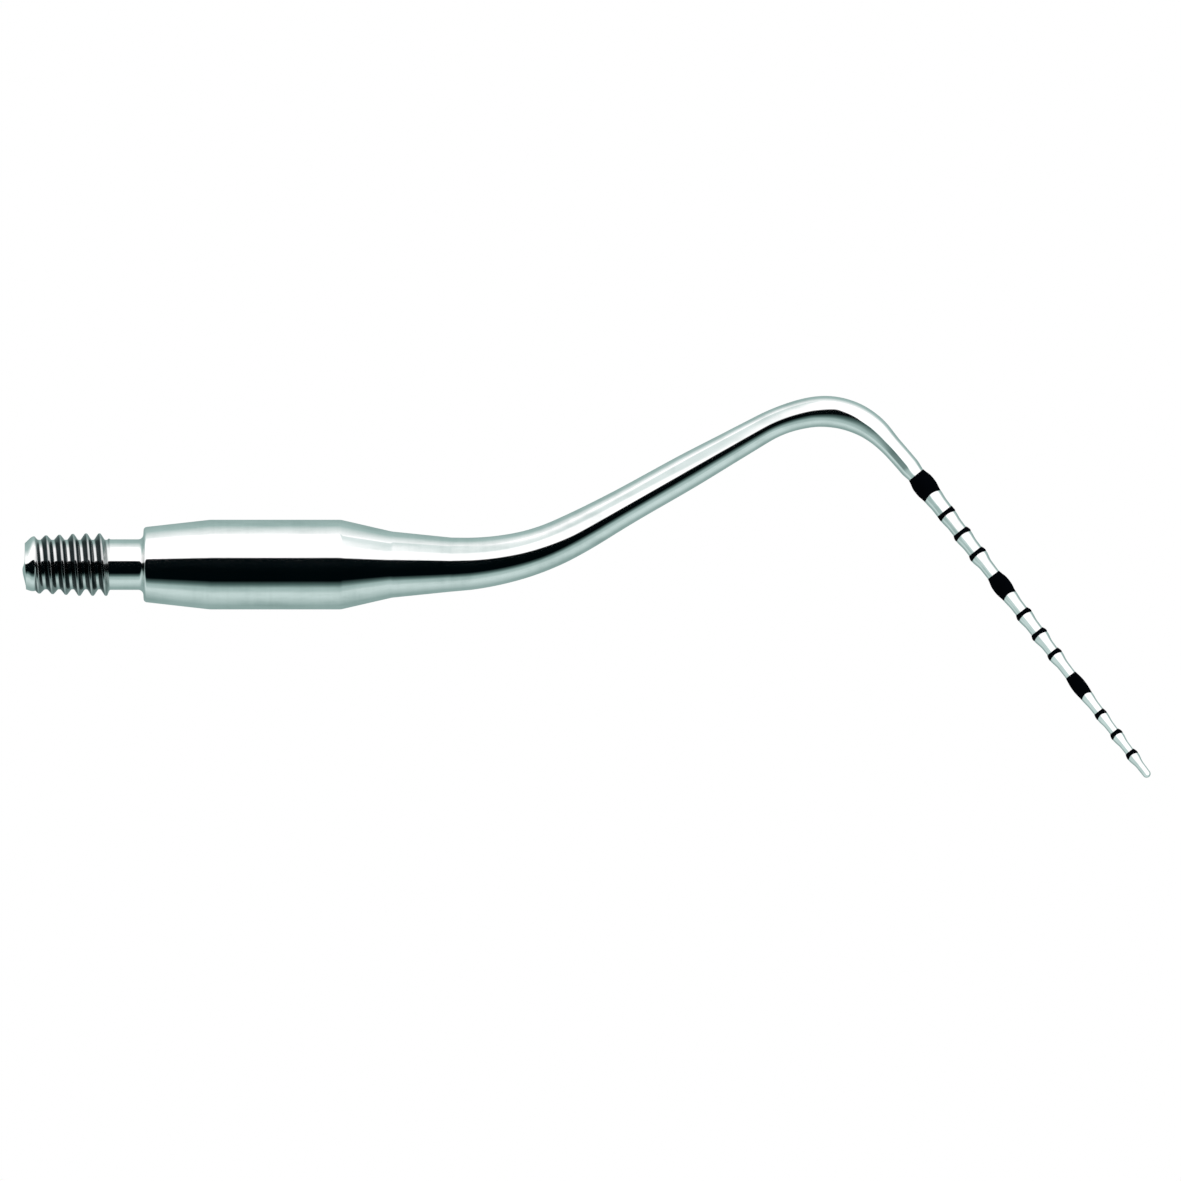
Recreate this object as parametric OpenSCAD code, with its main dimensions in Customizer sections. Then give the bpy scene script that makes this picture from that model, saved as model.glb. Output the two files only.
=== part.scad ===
// Screw-in periodontal probe tip.
// A one-piece stainless steel blank (threaded stud, neck, gripping body, bent shank and
// tapered probe) with black measuring bands seated in turned grooves.
// Frame: origin at the centre of the shoulder face that seats on the handle, +X from the
// thread to the probe, +Z up, and both bends in the XZ plane. Millimetres.

/* [Threaded stud] */
// Diameter over the thread's crests
thread_d = 2.41; // [2.3:0.01:2.5]
// Diameter at the thread's roots
thread_root_d = 1.98; // [1.8:0.01:2.04]
// Diameter of the plain lands at both ends of the thread
thread_land_d = 2.22; // [2.14:0.01:2.28]
// Advance of the right-hand thread in one turn (48 turns to the inch)
thread_pitch = 0.529; // [0.45:0.001:0.6]
// Width of the flat on each crest
thread_crest_w = 0.1; // [0.06:0.01:0.14]
// Length of the stud from the shoulder to the rim of its end face
stud_length = 4.7; // [4.5:0.05:6]
// Height of the dome on the stud's end face
stud_dome = 0.09; // [0:0.01:0.15]

/* [Neck] */
// Diameter of the plain neck between thread and shoulder
neck_d = 2.02; // [1.8:0.01:2.1]
// Length from the shoulder to the thread's run-out land
neck_length = 1.35; // [1.2:0.05:1.6]
// Fillet between neck and shoulder
neck_fillet = 0.22; // [0.21:0.01:0.24]

/* [Body] */
// Diameter of the body at the shoulder
shoulder_d = 2.96; // [2.9:0.01:3.2]
// Rounding of the shoulder's rim
shoulder_round = 0.12; // [0.05:0.01:0.15]
// Diameter of the cylindrical part of the body
body_d = 3.56; // [3.3:0.01:4]
// Where the rear cone meets the cylinder
body_cyl_start = 2.65; // [1.5:0.05:4]
// Where the cylinder meets the front cone
body_cyl_end = 7.83; // [6:0.05:8.5]
// Where the front cone meets the shank
cone_end = 9.85; // [9.2:0.05:10.5]
// Diameter where the front cone meets the shank
cone_end_d = 2.62; // [2.4:0.01:2.8]

/* [Shank] */
// Where the first, upward bend starts
bend_start = 12.18; // [11.5:0.01:13]
// Centreline radius of the upward bend
bend_up_r = 10.6; // [8:0.1:14]
// Angle of the upward bend
bend_up_angle = 29.2; // [20:0.1:35]
// Straight length between the two bends
between_bends = 8.7; // [7:0.1:10]
// Centreline radius of the downward bend
bend_down_r = 3.77; // [3:0.01:4.5]
// Angle of the downward bend
bend_down_angle = 81.5; // [60:0.1:90]
// Straight length from the downward bend to the end of the probe
final_straight = 16.45; // [16:0.05:18]
// Diameter at the start of the upward bend
shank_root_d = 2.14; // [2:0.01:2.3]
// Diameter in the straight between the bends
shank_mid_d = 1.44; // [1.3:0.01:1.6]
// Diameter where the downward bend starts
shank_bend_d = 1.12; // [1.05:0.01:1.2]
// Diameter of the slight swelling at the top of the downward bend
shank_apex_d = 1.235; // [1.15:0.005:1.3]
// Diameter where the shank becomes the probe
shank_end_d = 0.81; // [0.78:0.01:0.84]

/* [Probe and bands] */
// Diameter of the probe's rounded end
probe_end_d = 0.32; // [0.28:0.01:0.34]
// Waist diameter that the probe's taper would have at its very end
waist_d0 = 0.33; // [0.32:0.01:0.36]
// Growth of the probe's diameter for each millimetre from its end
probe_taper = 0.026; // [0.02:0.001:0.028]
// How far the steel's crest at a band stands above the waist's diameter
crest_step = 0.12; // [0.08:0.01:0.14]
// Further diameter of a thin band
thin_step = 0.02; // [0:0.01:0.04]
// Further diameter of the three wide bands
wide_step = 0.09; // [0:0.01:0.1]
// Width of a thin band
band_w = 0.26; // [0.22:0.01:0.3]
// How far a wide band runs past its last mark
wide_overrun = 0.09; // [0:0.01:0.15]
// Depth of a band's groove below the waist
groove_depth = 0.03; // [0.02:0.005:0.04]

/* [Hidden] */

// A circle's number of sides, and the points on one quarter round of an outline
round_fn = 96;
quarter_steps = 4;

// Thread: the lands, and where the helix starts and ends at full depth
lead_land = 0.16;
lead_chamfer_r = 0.86;
runout_land = 0.07;
ridge_embed = 0.03;
ridge_steps = 48;
fade_turns = 0.2;
fade_least = 0.1;
flank_angle = 30;
// The ridge's foot stays narrower than the pitch, so that one turn never meets the next
widest_foot = 0.48;
ridge_half_foot = min(widest_foot * thread_pitch,
                      thread_crest_w / 2
                      + (thread_d / 2 - thread_root_d / 2 + ridge_embed) * tan(flank_angle));
// A shallow dome's height at half its radius, as a share of its full height
dome_share = 0.75;
// A crest lies on the upper side (+Z) at this place on the axis
top_crest_x = -1.725;
lead_chamfer = thread_land_d / 2 - lead_chamfer_r;
lead_land_x = -stud_length + lead_chamfer;
runout_land_x = -neck_length - runout_land;
ridge_x0 = lead_land_x + lead_land + ridge_half_foot;
ridge_x1 = runout_land_x - ridge_half_foot;

// Shank: lengths along the centreline from the shoulder
s_up_end = bend_start + bend_up_r * bend_up_angle * PI / 180;
s_down_start = s_up_end + between_bends;
s_down_end = s_down_start + bend_down_r * bend_down_angle * PI / 180;
shank_sides = 24;
bend_up_steps = 14;
bend_down_steps = 18;
// The tube's end rings lie just inside the round faces that they join, and a core runs
// from each round bar into the tube
seam_step = 0.01;
core_length = 0.3;
core_share = 0.7;
// The slow taper in the middle of the straight: its start, its end and its fall in diameter
mid_start = 2;
mid_end = 4.4;
mid_fall = 0.06;
// The swelling's places round the downward bend, in radii, and its fall between them
apex_first = 0.56;
apex_last = 0.84;
apex_fall = 0.05;
// Diameters at places along the centreline, growing evenly from one to the next
shank_taper = [
    [bend_start, shank_root_d],
    [s_up_end + mid_start, shank_mid_d + mid_fall / 3],
    [s_up_end + mid_end, shank_mid_d - mid_fall * 2 / 3],
    [s_down_start, shank_bend_d],
    [s_down_start + bend_down_r * apex_first, shank_apex_d],
    [s_down_start + bend_down_r * apex_last, shank_apex_d - apex_fall],
    [s_down_end, shank_end_d]
];

// Bands: first and last millimetre from the probe's end. A band starts at its first mark,
// flush with the steel's crest, and slopes down to the waist on its shank side
BANDS = [[1, 1], [2, 2], [3, 3], [4, 5], [6, 6], [7, 7], [8, 8], [9, 10],
         [11, 11], [12, 12], [13, 13], [14, 15]];
scale_end = BANDS[len(BANDS) - 1][1];
// Lengths of a band's rise on its tip side and of its slope on the other, and the height
// of its lip over the waist
band_rise = 0.06;
thin_slope = 0.16;
wide_slope = 0.3;
band_lip = 0.015;
// The steel's flare from a waist up to the next crest: its steps, and how late it rises
flare_steps = 5;
flare_power = 2.2;
// The tip's small step outside its round end, and the run from the last band to the shank
tip_step = 0.005;
root_run = 0.5;

// --- centreline of the shank ---

function shank_heading(s) =
    s < bend_start ? 0
    : s < s_up_end ? (s - bend_start) / bend_up_r * 180 / PI
    : s < s_down_start ? bend_up_angle
    : s < s_down_end ? bend_up_angle - (s - s_down_start) / bend_down_r * 180 / PI
    : bend_up_angle - bend_down_angle;

function ahead(from, heading, length) =
    [from.x + length * cos(heading), from.y + length * sin(heading)];

// The end of an arc that turns from one heading to another; r is negative for a downward bend
function arc_end(from, h0, h1, r) =
    [from.x + r * (sin(h1) - sin(h0)), from.y - r * (cos(h1) - cos(h0))];

up_start = [bend_start, 0];
up_end = arc_end(up_start, 0, bend_up_angle, bend_up_r);
down_start = ahead(up_end, bend_up_angle, between_bends);
final_heading = bend_up_angle - bend_down_angle;
down_end = arc_end(down_start, bend_up_angle, final_heading, -bend_down_r);
probe_end = ahead(down_end, final_heading, final_straight);

function shank_point(s) =
    s < bend_start ? [s, 0]
    : s < s_up_end ? arc_end(up_start, 0, shank_heading(s), bend_up_r)
    : s < s_down_start ? ahead(up_end, bend_up_angle, s - s_up_end)
    : s < s_down_end ? arc_end(down_start, bend_up_angle, shank_heading(s), -bend_down_r)
    : ahead(down_end, final_heading, s - s_down_end);

// --- outlines, as [radius, place on the axis] ---

// A quarter round about c from angle a0 to a1, the first point left out
function quarter_round(c, r, a0, a1) =
    [for (i = [1:quarter_steps]) c + r * [cos(a0 + (a1 - a0) * i / quarter_steps),
                                          sin(a0 + (a1 - a0) * i / quarter_steps)]];

// The core that runs on from a bar's end face, at a place on the axis
function core_outline(r, place) = [
    [r * core_share, place],
    [r * core_share, place + core_length],
    [0, place + core_length]
];

function stud_outline() = [
    [0, -stud_length - stud_dome],
    [lead_chamfer_r / 2, -stud_length - stud_dome * dome_share],
    [lead_chamfer_r, -stud_length],
    [thread_land_d / 2, lead_land_x],
    [thread_land_d / 2, lead_land_x + lead_land],
    [thread_root_d / 2, lead_land_x + lead_land],
    [thread_root_d / 2, runout_land_x],
    [thread_land_d / 2, runout_land_x],
    [thread_land_d / 2, -neck_length],
    [neck_d / 2, -neck_length],
    [neck_d / 2, -neck_fillet]
];

function body_outline() = concat(
    quarter_round([neck_d / 2 + neck_fillet, -neck_fillet], neck_fillet, 180, 90),
    [[shoulder_d / 2 - shoulder_round, 0]],
    quarter_round([shoulder_d / 2 - shoulder_round, shoulder_round], shoulder_round, -90, 0),
    [[body_d / 2, body_cyl_start],
     [body_d / 2, body_cyl_end],
     [cone_end_d / 2, cone_end],
     [shank_root_d / 2, bend_start]],
    core_outline(shank_root_d / 2, bend_start)
);

// The probe is measured from its rounded end towards the shank
function band_is_wide(b) = b[1] > b[0];
function band_from(b) = b[0];
function band_to(b) = band_is_wide(b) ? b[1] + wide_overrun : b[1] + band_w;
function waist_r(t) = (waist_d0 + probe_taper * t) / 2;
function groove_r(b) = waist_r(band_from(b)) - groove_depth;
function crest_r(b) = waist_r(band_from(b)) + crest_step / 2;
function band_r(b) = crest_r(b) + (band_is_wide(b) ? wide_step : thin_step) / 2;

// Steel from one band to the next: a slim waist that flares out to the next band
function flare(t0, t1, r0, r1) =
    [for (i = [0:flare_steps]) let (u = i / flare_steps)
        [r0 + (r1 - r0) * pow(u, flare_power), t0 + (t1 - t0) * u]];

function probe_outline() = concat(
    [[0, 0]],
    quarter_round([0, probe_end_d / 2], probe_end_d / 2, -90, 0),
    [for (k = [0:len(BANDS) - 1])
        let (b = BANDS[k],
             t0 = k == 0 ? probe_end_d : band_to(BANDS[k - 1]),
             r0 = k == 0 ? probe_end_d / 2 + tip_step : waist_r(t0))
        each concat(flare(t0, band_from(b), r0, crest_r(b)),
                    [[groove_r(b), band_from(b)], [groove_r(b), band_to(b)]])],
    [[waist_r(scale_end), scale_end + wide_overrun],
     [shank_end_d / 2, scale_end + root_run],
     [shank_end_d / 2, final_straight]],
    core_outline(shank_end_d / 2, final_straight)
);

function band_outline(b) = [
    [groove_r(b), band_from(b)],
    [crest_r(b), band_from(b)],
    [band_r(b), band_from(b) + band_rise],
    [band_r(b), band_to(b) - (band_is_wide(b) ? wide_slope : thin_slope)],
    [waist_r(band_to(b)) + band_lip, band_to(b)],
    [groove_r(b), band_to(b)]
];

// --- swept solids ---

// Faces that join rings of n points into a closed tube with flat ends
function tube_faces(rings, n) = concat(
    [[for (i = [n - 1:-1:0]) i]],
    [for (k = [0:rings - 2], i = [0:n - 1])
        let (a = k * n + i, b = k * n + (i + 1) % n)
        each [[a, b, a + n], [b, b + n, a + n]]],
    [[for (i = [0:n - 1]) (rings - 1) * n + i]]
);

// The tapered shank from the first bend to the end of the second
module bent_shank() {
    stations = concat(
        [for (i = [0:bend_up_steps]) bend_start + (s_up_end - bend_start) * i / bend_up_steps],
        [shank_taper[1][0], shank_taper[2][0]],
        [for (i = [0:bend_down_steps])
            s_down_start + (s_down_end - s_down_start) * i / bend_down_steps]
    );
    points = [for (s = stations)
        let (p = shank_point(s),
             h = shank_heading(s),
             at_end = s == stations[0] || s == stations[len(stations) - 1],
             r = lookup(s, shank_taper) / 2 - (at_end ? seam_step : 0))
        for (i = [0:shank_sides - 1])
            let (a = 360 * i / shank_sides)
            [p.x - r * cos(a) * sin(h), r * sin(a), p.y + r * cos(a) * cos(h)]];
    polyhedron(points, tube_faces(len(stations), shank_sides), convexity = 4);
}

// The right-hand thread, a tapered ridge wound round the stud and sunk into it at both ends
module thread_ridge() {
    turns = (ridge_x1 - ridge_x0) / thread_pitch;
    steps = round(turns * ridge_steps);
    foot_r = thread_root_d / 2 - ridge_embed;
    points = [for (k = [0:steps])
        let (turn = turns * k / steps,
             x = ridge_x0 + thread_pitch * turn,
             a = 360 * (x - top_crest_x) / thread_pitch,
             fade = max(fade_least, min(1, turn / fade_turns, (turns - turn) / fade_turns)),
             crest_r = foot_r + (thread_d / 2 - foot_r) * fade,
             half_crest = ridge_half_foot - (ridge_half_foot - thread_crest_w / 2) * fade)
        for (q = [[-ridge_half_foot, foot_r], [-half_crest, crest_r],
                  [half_crest, crest_r], [ridge_half_foot, foot_r]])
            [x + q[0], -q[1] * sin(a), q[1] * cos(a)]];
    polyhedron(points, tube_faces(steps + 1, 4), convexity = 10);
}

// Turns an outline round the X axis
module turned(outline) {
    rotate([0, 90, 0])
        rotate_extrude($fn = round_fn)
            polygon(outline);
}

// Puts a solid made from the probe's end upwards in its place at the end of the shank
module at_probe() {
    translate([probe_end.x, 0, probe_end.y])
        rotate([0, -90 - final_heading, 0])
            children();
}

// --- sub-parts ---

module steel_probe() {
    color("silver") {
        turned(concat(stud_outline(), body_outline()));
        thread_ridge();
        bent_shank();
        at_probe()
            rotate_extrude($fn = round_fn)
                polygon(probe_outline());
    }
}

module mark_band(k) {
    color([0.06, 0.06, 0.07])
        at_probe()
            rotate_extrude($fn = round_fn)
                polygon(band_outline(BANDS[k]));
}

steel_probe();
mark_band(0);  // band_01mm
mark_band(1);  // band_02mm
mark_band(2);  // band_03mm
mark_band(3);  // band_04_05mm
mark_band(4);  // band_06mm
mark_band(5);  // band_07mm
mark_band(6);  // band_08mm
mark_band(7);  // band_09_10mm
mark_band(8);  // band_11mm
mark_band(9);  // band_12mm
mark_band(10);  // band_13mm
mark_band(11);  // band_14_15mm
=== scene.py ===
"""Screw-in periodontal probe tip: a polished steel blank with black measuring bands.

Lengths are millimetres until a mesh is built. The frame's origin is the centre of the
shoulder face, +X runs from the thread to the probe, +Z is up, and the bends lie in XZ.
"""

import math

import bpy
import numpy as np
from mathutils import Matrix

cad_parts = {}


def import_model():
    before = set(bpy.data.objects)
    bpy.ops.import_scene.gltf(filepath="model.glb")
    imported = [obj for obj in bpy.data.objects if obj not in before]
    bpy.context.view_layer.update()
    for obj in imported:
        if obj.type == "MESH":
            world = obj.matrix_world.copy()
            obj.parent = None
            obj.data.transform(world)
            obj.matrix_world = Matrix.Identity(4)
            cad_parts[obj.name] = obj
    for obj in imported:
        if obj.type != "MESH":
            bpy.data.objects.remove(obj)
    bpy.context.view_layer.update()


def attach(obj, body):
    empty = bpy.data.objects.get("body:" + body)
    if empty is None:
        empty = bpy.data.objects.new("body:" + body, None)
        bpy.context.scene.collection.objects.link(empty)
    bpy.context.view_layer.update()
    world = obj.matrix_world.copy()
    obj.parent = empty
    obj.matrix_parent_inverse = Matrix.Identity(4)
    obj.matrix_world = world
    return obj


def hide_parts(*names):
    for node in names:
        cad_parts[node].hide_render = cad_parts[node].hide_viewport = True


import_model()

MM = 0.001
RNG = np.random.default_rng(7)

# --- sizes -------------------------------------------------------------------------------

# The steel's centreline after the straight first part: radius and turn of each arc, and
# straight lengths with no turn. A negative turn goes down.
BEND_START = 12.05
CENTRELINE = [
    (11.72, 13.44),
    (9.12, 12.64),
    (26.3, 3.24),
    (7.46, 0),
    (5.94, -19.19),
    (3.24, -56.82),
    (28.2, -5.7),
]
PROBE_END = (39.864, -8.362)
LINE_STEP = 0.02

# Stud: end face with its off-centre pip, lead, and the thread's fading at both ends
END_FACE_X = -4.68
END_FACE_R = 0.85
END_SLANT = 0.06
END_LOW_GROWTH = 0.13
PIP_HEIGHT = 0.1
PIP_DROP = -0.2
LEAD_X = -4.36
LEAD_SHORTER = 0.08
LEAD_R = 1.05
LEAD_SWELL = 0.07
LEAD_LENGTH = 0.45
FADE_IN = (-4.32, -4.22)
FADE_OUT = (-1.42, -1.28)
NECK_R = 1.0

# Thread: right-hand, one crest on the upper side at TOP_CREST_X
PITCH = 0.529
TOP_CREST_X = -1.725
ROOT_R = 0.98
CREST_FLAT = 0.08
FLANK = 0.165
CORNER_SOFTNESS = 0.09
RING_STEP = 0.015
CREST_R = [(-4.37, 1.13), (-4.11, 1.15), (-3.58, 1.17), (-3.05, 1.2), (-2.5, 1.24), (-1.4, 1.24)]

# Body and shank: (place along the centreline, radius, rounding of that corner)
BODY = [
    (0.0, NECK_R, 0.2),
    (0.03, 1.48, 0.14),
    (2.65, 1.774, 1.2),
    (7.83, 1.774, 0.6),
    (9.85, 1.31, 0.9),
    (12.2, 1.07, 1.5),
]
SHANK = [
    (12.9, 1.035),
    (14.3, 0.955),
    (15.6, 0.89),
    (17.2, 0.835),
    (19.8, 0.73),
    (22.2, 0.7),
    (24.6, 0.615),
    (26.5, 0.56),
    (27.8, 0.595),
    (28.6, 0.617),
    (29.4, 0.6),
    (30.4, 0.53),
    (31.6, 0.42),
    (32.3, 0.412),
]
BAND_APPROACH = 32.5

# Bands: first and last mark (mm from the probe's end), then diameters: at the tip side, the
# largest, at the shank side, and of the steel's waist beyond the band
BAND_LAG = 0.02
BAND_W = 0.25
WIDE_OVERRUN = 0.09
BANDS = {
    "01mm": (1, 1, 0.49, 0.50, 0.39, 0.36),
    "02mm": (2, 2, 0.50, 0.52, 0.40, 0.37),
    "03mm": (3, 3, 0.49, 0.51, 0.44, 0.42),
    "04_05mm": (4, 5, 0.52, 0.61, 0.47, 0.45),
    "06mm": (6, 6, 0.60, 0.62, 0.52, 0.49),
    "07mm": (7, 7, 0.65, 0.68, 0.56, 0.53),
    "08mm": (8, 8, 0.65, 0.68, 0.56, 0.53),
    "09_10mm": (9, 10, 0.62, 0.75, 0.56, 0.54),
    "11mm": (11, 11, 0.72, 0.74, 0.64, 0.61),
    "12mm": (12, 12, 0.72, 0.75, 0.64, 0.61),
    "13mm": (13, 13, 0.71, 0.74, 0.72, 0.70),
    "14_15mm": (14, 15, 0.79, 0.92, 0.73, 0.71),
}
# A band's tip edge bows towards the shank on the front and the back
BOW = 0.09
WIDE_BOW = 0.12
# The steel flares up to a band over this length; the rest of its rise is an even taper
FLARE = 0.45
FLARE_SHARE = 0.8
# A band's profile: share of its width, which diameter, and how far the radius is below it
THIN_PROFILE = [(0.0, "tip", 0.006), (0.2, "top", 0.0), (0.45, "top", 0.006), (1.0, "shank", 0.0)]
WIDE_PROFILE = [(0.0, "tip", 0.006), (0.1, "tip", -0.01), (0.36, "top", 0.004), (0.5, "top", 0.0),
                (0.66, "top", 0.01), (0.9, "shank", -0.02), (1.0, "shank", 0.0)]
TIP_R = 0.16
GROOVE = 0.03
SEAT_GAP = 0.002
WANDER = 0.004
TUBE_SIDES = 144
PROBE_SIDES = 72

# --- the centreline ----------------------------------------------------------------------


def centreline():
    """Returns stations along the steel: lengths, points in XZ and headings in radians."""
    s, x, z, heading = [-6.0, BEND_START], [-6.0, BEND_START], [0.0, 0.0], [0.0, 0.0]
    for size, turn in CENTRELINE:
        length = size * abs(math.radians(turn)) if turn else size
        steps = max(2, int(length / LINE_STEP))
        for _ in range(steps):
            step = length / steps
            bend = math.radians(turn) / steps
            middle = heading[-1] + bend / 2
            s.append(s[-1] + step)
            x.append(x[-1] + step * math.cos(middle))
            z.append(z[-1] + step * math.sin(middle))
            heading.append(heading[-1] + bend)
    run = (PROBE_END[0] - x[-1]) * math.cos(heading[-1])
    run += (PROBE_END[1] - z[-1]) * math.sin(heading[-1])
    s.append(s[-1] + run)
    x.append(x[-1] + run * math.cos(heading[-1]))
    z.append(z[-1] + run * math.sin(heading[-1]))
    heading.append(heading[-1])
    return np.array(s), np.array(x), np.array(z), np.array(heading)


LINE = centreline()
TOTAL = LINE[0][-1]


def at(s):
    """The centreline's point (x, z) and heading at length s."""
    return tuple(np.interp(s, LINE[0], row) for row in LINE[1:])


# --- outlines ----------------------------------------------------------------------------


def rounded(corners, arc_steps=7):
    """A line through (place, radius, rounding) corners, with each inner corner an arc."""
    points = [np.array(corners[0][:2], float)]
    for before, here, after in zip(corners, corners[1:], corners[2:]):
        a, b, c = (np.array(p[:2], float) for p in (before, here, after))
        u, v = (a - b) / np.linalg.norm(a - b), (c - b) / np.linalg.norm(c - b)
        half = math.acos(np.clip(u @ v, -1, 1)) / 2
        if here[2] <= 0 or abs(half - math.pi / 2) < 1e-4:
            points.append(b)
            continue
        reach = here[2] / math.tan(half)
        centre = b + (u + v) / np.linalg.norm(u + v) * here[2] / math.sin(half)
        start, end = b + u * reach - centre, b + v * reach - centre
        turn = math.atan2(start[0] * end[1] - start[1] * end[0], start @ end)
        for i in range(arc_steps + 1):
            t = turn * i / arc_steps
            spun = np.array([start[0] * math.cos(t) - start[1] * math.sin(t),
                             start[0] * math.sin(t) + start[1] * math.cos(t)])
            points.append(centre + spun)
    points.append(np.array(corners[-1][:2], float))
    return points


def filled(points, step):
    """The same line with no gap between points longer than step."""
    out = [points[0]]
    for a, b in zip(points, points[1:]):
        n = max(1, math.ceil(np.linalg.norm(np.subtract(b, a)) / step))
        out += [np.add(a, np.subtract(b, a) * i / n) for i in range(1, n + 1)]
    return out


def smooth_through(knots, step):
    """A smooth line through (place, radius) knots, with slopes that never overshoot."""
    x, y = (np.array(c, float) for c in zip(*knots))
    h, d = np.diff(x), np.diff(y) / np.diff(x)
    m = np.concatenate([[d[0]], np.zeros(len(d) - 1), [d[-1]]])
    for i in range(1, len(d)):
        if d[i - 1] * d[i] > 0:
            w = 2 * h[i] + h[i - 1], h[i] + 2 * h[i - 1]
            m[i] = sum(w) / (w[0] / d[i - 1] + w[1] / d[i])
    grid = np.linspace(x[0], x[-1], math.ceil((x[-1] - x[0]) / step) + 1)
    k = np.clip(np.searchsorted(x, grid, "right") - 1, 0, len(d) - 1)
    t = (grid - x[k]) / h[k]
    r = ((1 + 2 * t) * (1 - t) ** 2 * y[k] + t * (1 - t) ** 2 * h[k] * m[k]
         + t * t * (3 - 2 * t) * y[k + 1] + t * t * (t - 1) * h[k] * m[k + 1])
    return list(zip(grid, r))


def is_wide(name):
    return BANDS[name][1] > BANDS[name][0]


def band_span(name):
    """Where a band starts and ends, in mm from the probe's end."""
    first, last = BANDS[name][:2]
    return first + BAND_LAG, last + WIDE_OVERRUN if is_wide(name) else first + BAND_LAG + BAND_W


def side_angles(sides):
    """The angle of each point of a ring: 0 is on the upper side, a quarter turn on -Y."""
    return np.arange(sides) * 2 * math.pi / sides


def band_bow(name):
    """How far the band's tip edge bows, for each point of a ring."""
    return (WIDE_BOW if is_wide(name) else BOW) * np.sin(side_angles(PROBE_SIDES)) ** 2


def waist_before(name):
    """The radius of the steel's waist on a band's tip side."""
    names = list(BANDS)
    place = names.index(name)
    return BANDS[names[place - 1]][5] / 2 if place else TIP_R


def probe_outline():
    """The steel from its rounded end to the shank, as (mm from the end round a ring, radius)."""
    flat = np.zeros(PROBE_SIDES)
    points = [(flat + TIP_R * (1 - math.cos(a)), TIP_R * math.sin(a))
              for a in np.linspace(0.1, math.pi / 2, 9)]
    place = TIP_R
    for name, (_, _, tip_d, _, _, waist_d) in BANDS.items():
        start, end = band_span(name)
        bow, waist_r, crest_r = band_bow(name), waist_before(name), tip_d / 2 - 0.004
        for t in [*np.linspace(place, start - 0.01, 14)[1:], start]:
            near = max(0, 1 - (start - t) / FLARE)
            rise = FLARE_SHARE * (1 - math.cos(math.pi * near)) / 2
            rise += (1 - FLARE_SHARE) * (t - place) / (start - place)
            points.append((t + bow * near ** 2, waist_r + (crest_r - waist_r) * rise))
        points += [(start + bow, waist_r - GROOVE), (flat + end, waist_r - GROOVE)]
        points += [(flat + end, waist_d / 2), (flat + end + 0.01, waist_d / 2)]
        place = end + 0.01
    return points


# --- meshes ------------------------------------------------------------------------------


def thread_crest(x, phi):
    """How far a point of the stud is from the nearest crest, along the axis."""
    phase = (x - TOP_CREST_X) / PITCH - phi / (2 * math.pi)
    return (phase - np.round(phase)) * PITCH


def thread_radius(x, phi):
    """The threaded stud's surface at x, for each angle of a ring."""
    slope = (np.abs(thread_crest(x, phi)) - CREST_FLAT / 2) / FLANK
    low = 0.5 * (slope + np.sqrt(slope ** 2 + CORNER_SOFTNESS ** 2))
    depth = 0.5 * (low + 1 - np.sqrt((low - 1) ** 2 + CORNER_SOFTNESS ** 2))
    crest = np.interp(x, *zip(*CREST_R))
    return crest - (crest - ROOT_R) * np.clip(depth, 0, 1)


def eased(x, start, end):
    """0 before start, 1 after end, and a smooth rise between."""
    t = np.clip((x - start) / (end - start), 0, 1)
    return t * t * (3 - 2 * t)


def ring(s, r, sides):
    """Points round the centreline; s and r are one value or one for each side."""
    x, z, heading = at(s)
    phi = side_angles(sides)
    up = r * np.cos(phi)
    return np.stack([x - up * np.sin(heading), -r * np.sin(phi), z + up * np.cos(heading)], 1)


def end_face_rings():
    """The stud's end face: an off-centre pip, and a slant on the lower side."""
    rings = []
    low_side = (1 - np.cos(side_angles(TUBE_SIDES))) / 2
    for share in np.linspace(0.07, 1, 12):
        part = ring(0, share * (END_FACE_R + END_LOW_GROWTH * low_side), TUBE_SIDES)
        part[:, 2] += PIP_DROP * (1 - share)
        height = part[:, 2] - PIP_DROP
        width = np.where(height > 0, 0.2, 0.5)
        bump = np.exp(-((height / width) ** 2) - (part[:, 1] / 0.4) ** 2)
        low = np.clip(-part[:, 2] / END_FACE_R, 0, 1) ** 1.5
        part[:, 0] = END_FACE_X - PIP_HEIGHT * bump + END_SLANT * low
        rings.append(part)
    return rings


def stud_rings():
    """The lead, the thread and its run-out into the neck."""
    rings = []
    phi = side_angles(TUBE_SIDES)
    slant = END_SLANT * np.clip(-np.cos(phi), 0, 1) ** 1.5
    low_side = (1 - np.cos(phi)) / 2
    face_r = END_FACE_R + END_LOW_GROWTH * low_side
    land_r = LEAD_R + LEAD_SWELL * (1 - low_side)
    for x in np.arange(END_FACE_X + RING_STEP, FADE_OUT[1] + 0.01, RING_STEP):
        s = x + slant * max(0, 1 - (x - END_FACE_X) / LEAD_LENGTH)
        lead = eased(x, END_FACE_X - 0.12, LEAD_X + 0.04 - LEAD_SHORTER * low_side)
        plain = face_r + (land_r - face_r) * np.clip((lead - 0.15) / 0.85, 0, 1)
        cut = eased(x, *FADE_IN)
        r = plain + (thread_radius(s, phi) - plain) * cut
        r = r + (NECK_R - r) * eased(x, *FADE_OUT)
        rings.append(ring(s, r, TUBE_SIDES))
    return rings


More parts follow.
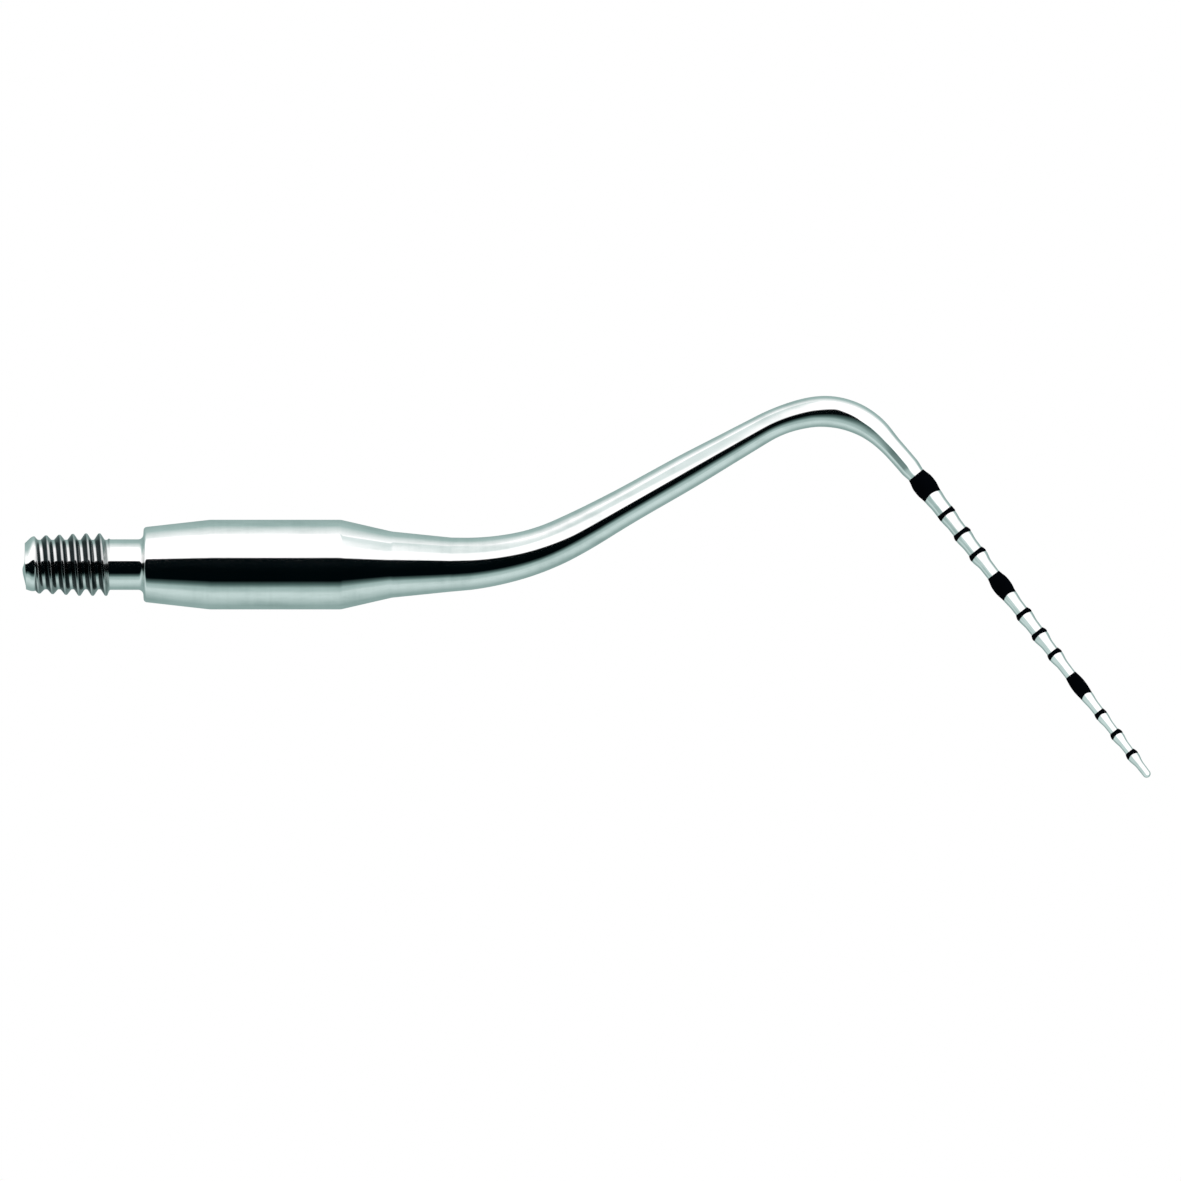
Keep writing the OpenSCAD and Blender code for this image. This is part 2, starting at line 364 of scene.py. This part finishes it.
def steel_rings():
    """Every ring of the steel, from the stud's end face to the probe's end."""
    rings = end_face_rings() + stud_rings()
    bar = rounded([(FADE_OUT[1] + 0.02, NECK_R, 0), *BODY, (*SHANK[0], 0)])
    rings += [ring(s, r, TUBE_SIDES) for s, r in filled(bar[:-1], 0.16)]
    rings += [ring(s, r, TUBE_SIDES) for s, r in smooth_through(SHANK, 0.15)]
    probe = probe_outline()[::-1]
    last_r = probe[0][1]
    knots = [SHANK[-1], (BAND_APPROACH, SHANK[-1][1]), (TOTAL - probe[0][0][0], last_r)]
    reach = smooth_through(knots, 0.06)
    rings += [ring(s, r, PROBE_SIDES) for s, r in reach[1:-1]]
    rings += [ring(TOTAL - t, r, PROBE_SIDES) for t, r in probe]
    return rings


def stitched(rings):
    """Vertices and faces of a closed tube; a ring may have half as many points as the last."""
    points, faces, starts = np.concatenate(rings), [], np.cumsum([0] + [len(r) for r in rings])
    for a0, b0, a, b in zip(starts, starts[1:], rings, rings[1:]):
        n, m = len(a), len(b)
        for i in range(m):
            j = (i + 1) % m
            if n == m:
                faces.append((a0 + i, a0 + j, b0 + j, b0 + i))
            else:
                faces.append((a0 + 2 * i, a0 + 2 * i + 1, b0 + i))
                faces.append((a0 + 2 * i + 1, b0 + j, b0 + i))
                faces.append((a0 + 2 * i + 1, a0 + (2 * i + 2) % n, b0 + j))
    for start, count, flip in ((0, len(rings[0]), False), (starts[-2], len(rings[-1]), True)):
        centre = len(points)
        points = np.vstack([points, points[start:start + count].mean(0)])
        for i in range(count):
            edge = (start + i, start + (i + 1) % count)
            faces.append((*(edge if flip else edge[::-1]), centre))
    return points, faces


def mesh_piece(name, points, faces, material, slot, node):
    """A smooth-shaded piece made from points in mm, in place of one CAD node."""
    mesh = bpy.data.meshes.new(name)
    mesh.from_pydata((points * MM).tolist(), [], faces)
    mesh.validate()
    mesh.polygons.foreach_set("use_smooth", [True] * len(mesh.polygons))
    mesh.materials.append(material)
    piece = bpy.data.objects.new(name, mesh)
    bpy.context.scene.collection.objects.link(piece)
    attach(piece, "root")
    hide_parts(node)
    return piece


# How much painted shade the thread gets, standing in for reflections: 1 on the flank towards the end
# face, less on the other flank so the two flanks read as shaded and lit sides, and less elsewhere on
# crests and roots
REAR_FLANK_DARK = 0.6
CREST_DARK = 0.3
ROOT_DARK = 0.14
MARK_BLUR = 0.03


def mark_flanks(piece):
    """Stores how dark each point of the thread is made, in place of the reflections between
    its crests, which the plain light doesn't give."""
    mesh = piece.data
    flat = np.empty(len(mesh.vertices) * 3)
    mesh.vertices.foreach_get("co", flat)
    x, y, z = (flat / MM).reshape(-1, 3).T
    offset = thread_crest(x, np.arctan2(-y, z))
    inner = CREST_FLAT / 2 - 0.01
    outer = CREST_FLAT / 2 + FLANK + 0.01
    away = np.abs(offset)
    inside = eased(away, inner - MARK_BLUR, inner + MARK_BLUR)
    outside = eased(away, outer - MARK_BLUR, outer + MARK_BLUR)
    flank = np.where(offset < 0, 1.0, REAR_FLANK_DARK)
    flank = CREST_DARK + (flank - CREST_DARK) * inside + (ROOT_DARK - flank) * outside
    flank *= eased(x, *FADE_IN) * (1 - eased(x, *FADE_OUT))
    mesh.attributes.new("flank", "FLOAT", "POINT").data.foreach_set("value", flank)


def band_mesh(name):
    """Points and faces of one enamel ring: a slope to the shank, and rims that wander."""
    start, end = band_span(name)
    inner = waist_before(name) - GROOVE + SEAT_GAP
    tip_r, top_r, shank_r = (d / 2 for d in BANDS[name][2:5])
    bow = band_bow(name)
    knots = WIDE_PROFILE if is_wide(name) else THIN_PROFILE
    heights = {"tip": tip_r, "top": top_r, "shank": shank_r}
    outer = smooth_through([(f, heights[which] - drop) for f, which, drop in knots], 0.08)
    loop = [(0.0, inner), (0.0, tip_r - 0.02), *outer, (1.0, inner)]
    phi = side_angles(PROBE_SIDES)
    waves = [(k, RNG.normal(0, WANDER / k), RNG.uniform(0, 6.28)) for k in (1, 2, 3, 5)]
    wander = sum(size * np.cos(k * phi + shift) for k, size, shift in waves)
    rings = []
    for share, r in loop:
        skin = (r - inner) / (top_r - inner)
        t = start + SEAT_GAP + share * (end - start - 2 * SEAT_GAP) + bow * (1 - share)
        rings.append(ring(TOTAL - t, r + wander * skin, PROBE_SIDES))
    points = np.concatenate(rings)
    faces = []
    for k in range(len(rings)):
        for i in range(PROBE_SIDES):
            j = (i + 1) % PROBE_SIDES
            a, b = k * PROBE_SIDES, (k + 1) % len(rings) * PROBE_SIDES
            faces.append((a + j, a + i, b + i, b + j))
    return points, faces


# --- materials ---------------------------------------------------------------------------


class Nodes:
    """Short ways to add and join shader nodes in one tree."""

    def __init__(self, tree):
        self.tree = tree
        tree.nodes.clear()

    def add(self, kind, inputs=None, **settings):
        node = self.tree.nodes.new(kind)
        for key, value in settings.items():
            setattr(node, key, value)
        for key, value in (inputs or {}).items():
            if isinstance(value, bpy.types.NodeSocket):
                self.tree.links.new(value, node.inputs[key])
            else:
                node.inputs[key].default_value = value
        return node

    def math(self, operation, *values):
        return self.add("ShaderNodeMath", dict(enumerate(values)), operation=operation).outputs[0]

    def ramp(self, value, stops, interpolation="LINEAR"):
        node = self.add("ShaderNodeValToRGB", {0: value})
        ramp = node.color_ramp
        ramp.interpolation = interpolation
        while len(ramp.elements) < len(stops):
            ramp.elements.new(0.5)
        for element, (place, colour) in zip(ramp.elements, stops):
            element.position = place
            element.color = (*colour, 1) if len(colour) == 3 else colour
        return node.outputs[0]

    def noise(self, vector, scale, detail=2.0, rough=0.5):
        inputs = {"Vector": vector, "Scale": scale, "Detail": detail, "Roughness": rough}
        return self.add("ShaderNodeTexNoise", inputs).outputs[0]

    def stretched(self, vector, scale):
        return self.add("ShaderNodeMapping", {"Vector": vector, "Scale": scale}).outputs[0]


def grey(v):
    return (v, v, v)


# The polishing smears run this many radians off the object's axis
SMEAR_SLANT = 0.6
DIM_STEEL = (0.68, 0.715, 0.705)
STEEL_GREY = (0.80, 0.82, 0.81)
BRIGHT_STEEL = (0.86, 0.87, 0.865)
# Painted shade for the thread: near-black colours, varying at random, laid on the flanks in place of the
# dark reflections between the crests
DARKER_FLANK_SHADE = (0.01, 0.019, 0.023)
LIGHTER_FLANK_SHADE = (0.036, 0.055, 0.058)


def steel_material():
    """Polished stainless steel: turning lines, hairline scratches, smudges, and painted shade on the
    thread's flanks.
    """
    material = bpy.data.materials.new("polished_steel")
    material.use_nodes = True
    n = Nodes(material.node_tree)
    place = n.add("ShaderNodeTexCoord").outputs["Object"]
    flank = n.add("ShaderNodeAttribute", attribute_name="flank").outputs["Fac"]
    smudge = n.noise(place, 420.0, 4.0, 0.6)
    fine = n.noise(place, 2600.0, 3.0, 0.7)
    slanted = n.add("ShaderNodeMapping", {"Vector": place, "Rotation": (0.0, SMEAR_SLANT, 0.0),
                                          "Scale": (420.0, 900.0, 1900.0)}).outputs[0]
    smear = n.noise(slanted, 1.0, 4.0, 0.6)
    streak = n.noise(n.stretched(place, (2300.0, 160.0, 160.0)), 1.0, 3.0, 0.65)
    turned = n.noise(n.stretched(place, (9000.0, 260.0, 260.0)), 1.0, 3.0, 0.6)
    scratch_map = n.stretched(place, (420.0, 5200.0, 5200.0))
    scratch = n.ramp(n.noise(scratch_map, 1.0, 2.0, 0.8), [(0.70, grey(0)), (0.76, grey(1))])

    rough = n.math("MULTIPLY_ADD", smudge, 0.05, 0.03)
    rough = n.math("MULTIPLY_ADD", fine, 0.02, rough)
    rough = n.math("MULTIPLY_ADD", scratch, 0.05, rough)
    rough = n.math("MULTIPLY_ADD", flank, 0.12, rough)

    mottle = n.math("MULTIPLY_ADD", smear, 0.6, n.math("MULTIPLY", smudge, 0.2))
    mottle = n.math("MULTIPLY_ADD", streak, 0.2, mottle)
    polished = n.ramp(mottle, [(0.36, DIM_STEEL), (0.5, STEEL_GREY), (0.62, BRIGHT_STEEL)])
    # Painted shade: the near-black flank colours are mixed over the steel where the thread's flank mark
    # is high
    cut = n.ramp(fine, [(0.3, DARKER_FLANK_SHADE), (0.7, LIGHTER_FLANK_SHADE)])
    tint = n.add("ShaderNodeMix", {0: flank, 6: polished, 7: cut}, data_type="RGBA").outputs[2]

    height = n.math("MULTIPLY_ADD", turned, 0.5, n.math("MULTIPLY", fine, 0.35))
    height = n.math("MULTIPLY_ADD", scratch, -0.5, height)
    bump = n.add("ShaderNodeBump", {"Strength": 0.09, "Distance": 0.0000004, "Height": height})

    surface = n.add("ShaderNodeBsdfPrincipled", {
        "Base Color": tint, "Metallic": 1.0, "Roughness": rough, "Normal": bump.outputs[0]})
    n.add("ShaderNodeOutputMaterial", {0: surface.outputs[0]})
    return material


DEEP_BLACK = (0.0001, 0.0004, 0.0009)
BLACK = (0.0003, 0.0008, 0.0016)
WORN_BLACK = (0.0014, 0.002, 0.003)


def band_material():
    """Matte black enamel: faint mottling, fine grain and worn, slightly lighter patches."""
    material = bpy.data.materials.new("black_enamel")
    material.use_nodes = True
    n = Nodes(material.node_tree)
    place = n.add("ShaderNodeTexCoord").outputs["Object"]
    grain = n.noise(place, 9000.0, 3.0, 0.65)
    patch = n.noise(place, 1500.0, 3.0, 0.6)
    colour = n.ramp(patch, [(0.3, DEEP_BLACK), (0.6, BLACK), (0.8, WORN_BLACK)])
    rough = n.math("MULTIPLY_ADD", grain, 0.18, n.math("MULTIPLY_ADD", patch, 0.12, 0.55))
    bump = n.add("ShaderNodeBump", {"Strength": 0.4, "Distance": 0.000002, "Height": grain})
    surface = n.add("ShaderNodeBsdfPrincipled", {
        "Base Color": colour, "Roughness": rough, "Normal": bump.outputs[0], "Specular IOR Level": 0.008})
    n.add("ShaderNodeOutputMaterial", {0: surface.outputs[0]})
    return material


# --- the object --------------------------------------------------------------------------

steel = steel_material()
enamel = band_material()
blank = mesh_piece("polished_blank", *stitched(steel_rings()), steel, "steel", "steel_probe")
mark_flanks(blank)
for mark in BANDS:
    mesh_piece("enamel_" + mark, *band_mesh(mark), enamel, "band_black", "band_" + mark)

# --- studio ------------------------------------------------------------------------------

scene = bpy.context.scene


def sheet_mesh(name, corners, faces, material, **hidden_from):
    """A stage piece through points given in mm, hidden from some kinds of ray."""
    mesh = bpy.data.meshes.new(name)
    mesh.from_pydata([[c * MM for c in p] for p in corners], [], faces)
    mesh.materials.append(material)
    sheet = bpy.data.objects.new(name, mesh)
    scene.collection.objects.link(sheet)
    for ray, shown in hidden_from.items():
        setattr(sheet, "visible_" + ray, shown)
    return sheet


def plain(name, colour, roughness=0.9):
    material = bpy.data.materials.new(name)
    material.use_nodes = True
    n = Nodes(material.node_tree)
    surface = n.add("ShaderNodeBsdfPrincipled", {
        "Base Color": (*colour, 1), "Roughness": roughness, "Specular IOR Level": 0.0})
    n.add("ShaderNodeOutputMaterial", {0: surface.outputs[0]})
    return material


def srgb(*values):
    """Light values for screen levels from 0 to 255."""
    return tuple((v / 255 / 12.92) if v <= 10 else ((v / 255 + 0.055) / 1.055) ** 2.4 for v in values)


def seen_in_steel(*rgb):
    """The light that shows as this screen colour after one reflection in the steel."""
    return tuple(c / k for c, k in zip(srgb(*rgb), STEEL_GREY))


# The most that a grey's green exceeds its red
TINT = 24


def tone(level):
    """The light that shows as a slightly green grey of this level, or as white at 255."""
    green = TINT * min(1, (255 - level) / 80, 0.2 + level / 60)
    blue = green * (0.85 + 0.5 * max(0, 1 - level / 60))
    return seen_in_steel(level, level + green, level + blue)


WHITE = tuple(1.1 * c for c in seen_in_steel(255, 255, 255))
PALE = tone(215)


def world():
    """White for the camera; for the steel, a plain surround: white above, grey below and behind."""
    scene.world = bpy.data.worlds.new("studio")
    scene.world.use_nodes = True
    n = Nodes(scene.world.node_tree)
    d = n.add("ShaderNodeSeparateXYZ", {0: n.add("ShaderNodeTexCoord").outputs["Generated"]})
    frontward = n.math("MULTIPLY", d.outputs[1], -1.0)
    elevation = n.math("ARCTAN2", d.outputs[2], frontward)
    turn = n.math("MULTIPLY_ADD", elevation, 0.5 / math.pi, 0.5)

    def stop(degrees, colour):
        return (degrees / 360 + 0.5, colour)

    lit = n.ramp(turn, [
        stop(-180, tone(130)),
        stop(-130, tone(140)),
        stop(-90, tone(190)),
        stop(-40, tone(190)),
        stop(-30, WHITE),
        stop(75, WHITE),
        stop(120, tone(160)),
        stop(180, tone(130)),
    ])
    is_camera = n.add("ShaderNodeLightPath").outputs["Is Camera Ray"]
    final = n.add("ShaderNodeMix", {0: is_camera, 6: lit, 7: (1, 1, 1, 1)}, data_type="RGBA").outputs[2]
    background = n.add("ShaderNodeBackground", {0: final, 1: 1.0})
    n.add("ShaderNodeOutputWorld", {0: background.outputs[0]})


world()

FLOOR_Z = -70.0
FLOOR_R = 3000.0
FLOOR_WHITE = (0.86, 0.86, 0.86)
around = np.linspace(0, 2 * math.pi, 65)[:-1]
floor_corners = [(FLOOR_R * math.cos(a), FLOOR_R * math.sin(a), FLOOR_Z) for a in around]
floor_face = list(range(len(floor_corners)))
sheet_mesh("floor", floor_corners, [floor_face], plain("floor_white", FLOOR_WHITE), glossy=False)

# A white card in front, seen only in the steel's reflections. It's grey in its lower part, and
# a black strip with straight edges lies across it in front of the stud, body and shank. The
# strip stops short of the measuring end, and past it the two edges are the border of white
# and grey. Edges are (x, z) corners, and the blur is (x, half its width at the upper edge)
CARD_Y = -6.0
CARD_REACH = 70.0
STRIP_TOP = [(13.0, 1.6), (17.5, 1.0), (28.0, 8.4), (29.0, 6.0), (30.0, 0.6), (42.0, -15.0)]
STRIP_BOTTOM = [(13.0, -4.8), (18.0, -3.5), (28.0, 5.2), (29.0, 5.4), (30.0, 0.5), (42.0, -15.1)]
STRIP_END = 29.0
STRIP_BLUR = [(12.0, 0.06), (26.0, 0.5)]
# How bright the card is at distances under the strip
FADE = [(0, 0), (2, 0.4), (5, 0.8), (20, 1)]
CARD_GREY = 190
# One pale panel in its white part
PANEL_X = (12.0, 23.0)
PANEL_Z = 6.0
PANEL_BLUR = 3.0


def blend(a, b, share):
    return tuple(p + (q - p) * float(share) for p, q in zip(a, b))


def upper_colour(x, z):
    """The card above its strip: white, with one pale panel."""
    panel = eased(x, PANEL_X[0] - PANEL_BLUR, PANEL_X[0] + PANEL_BLUR)
    panel *= 1 - eased(x, PANEL_X[1] - PANEL_BLUR, PANEL_X[1] + PANEL_BLUR)
    return blend(WHITE, PALE, panel * eased(z, PANEL_Z - 1, PANEL_Z + 1))


def card_column(x):
    """One column of the card, from its lower edge up: (z, colour) pairs."""
    top, low, blur = (np.interp(x, *zip(*line)) for line in (STRIP_TOP, STRIP_BOTTOM, STRIP_BLUR))
    dark = 1.0 if x <= STRIP_END else 0.0
    column = []
    for depth, share in [(CARD_REACH, 1), *FADE[::-1]]:
        level = CARD_GREY * (1 - dark * (1 - share))
        column.append((low - depth, tone(level)))
    start = max(low + 0.02, top - blur)
    for k in range(7):
        shade = float(eased(k, 0, 6)) if dark else 1.0
        z = start + 2 * blur * k / 6 + 0.001 * k
        column.append((z, blend(tone(0), upper_colour(x, z), shade)))
    edge = column[-1][0]
    for k, z in enumerate([*np.arange(2, 12, 0.5), 15, 20, 30, CARD_REACH]):
        z = max(z, edge + 0.01 * (k + 1))
        column.append((z, upper_colour(x, z)))
    return column


def emissive_sheet(name, grid):
    """A card from rows of (place, colour), equally long; it lights the steel's reflections."""
    height = len(grid[0])
    points = [place for row in grid for place, _ in row]
    colours = [(*colour, 1) for row in grid for _, colour in row]
    faces = [(a, a + 1, a + 1 + height, a + height)
             for c in range(len(grid) - 1) for a in range(c * height, (c + 1) * height - 1)]
    material = bpy.data.materials.new(name)
    material.use_nodes = True
    n = Nodes(material.node_tree)
    paint = n.add("ShaderNodeAttribute", attribute_name="paint").outputs["Color"]
    light = n.add("ShaderNodeEmission", {0: paint, 1: 1.0})
    n.add("ShaderNodeOutputMaterial", {0: light.outputs[0]})
    card = sheet_mesh(name, points, faces, material, camera=False, diffuse=False, shadow=False)
    data = card.data.attributes.new("paint", "FLOAT_COLOR", "POINT").data
    data.foreach_set("color", np.array(colours, np.float32).ravel())


card_rows = []
strip_columns = np.arange(-10, STRIP_END, 0.3)
for x in [-CARD_REACH, *strip_columns, STRIP_END, STRIP_END + 0.05, 30, 42, CARD_REACH, 100]:
    card_rows.append([((x, CARD_Y, z), colour) for z, colour in card_column(x)])
emissive_sheet("front_card", card_rows)


def area_light(name, place, size, power):
    light = bpy.data.lights.new(name, "AREA")
    light.shape = "DISK"
    light.size = size * MM
    light.energy = power
    lamp = bpy.data.objects.new(name, light)
    lamp.location = [c * MM for c in place]
    lamp.visible_glossy = False
    scene.collection.objects.link(lamp)
    return lamp


area_light("key_light", (10, -40, 240), 160, 0.35)

# The camera looks along +Y from the photo's angle, with the view's width and middle in mm
VIEW_WIDTH = 46.735
VIEW_MIDDLE = (17.709, -1.025)
CAMERA_Y = -300
camera = bpy.data.cameras.new("camera")
camera.type = "ORTHO"
camera.ortho_scale = VIEW_WIDTH * MM
camera.dof.use_dof = False
camera.clip_start = 1 * MM
camera.clip_end = 10
camera_rig = bpy.data.objects.new("camera", camera)
camera_rig.location = (VIEW_MIDDLE[0] * MM, CAMERA_Y * MM, VIEW_MIDDLE[1] * MM)
camera_rig.rotation_euler = (math.pi / 2, 0, 0)
scene.collection.objects.link(camera_rig)
scene.camera = camera_rig
scene.view_settings.view_transform = "Standard"
scene.view_settings.look = "None"
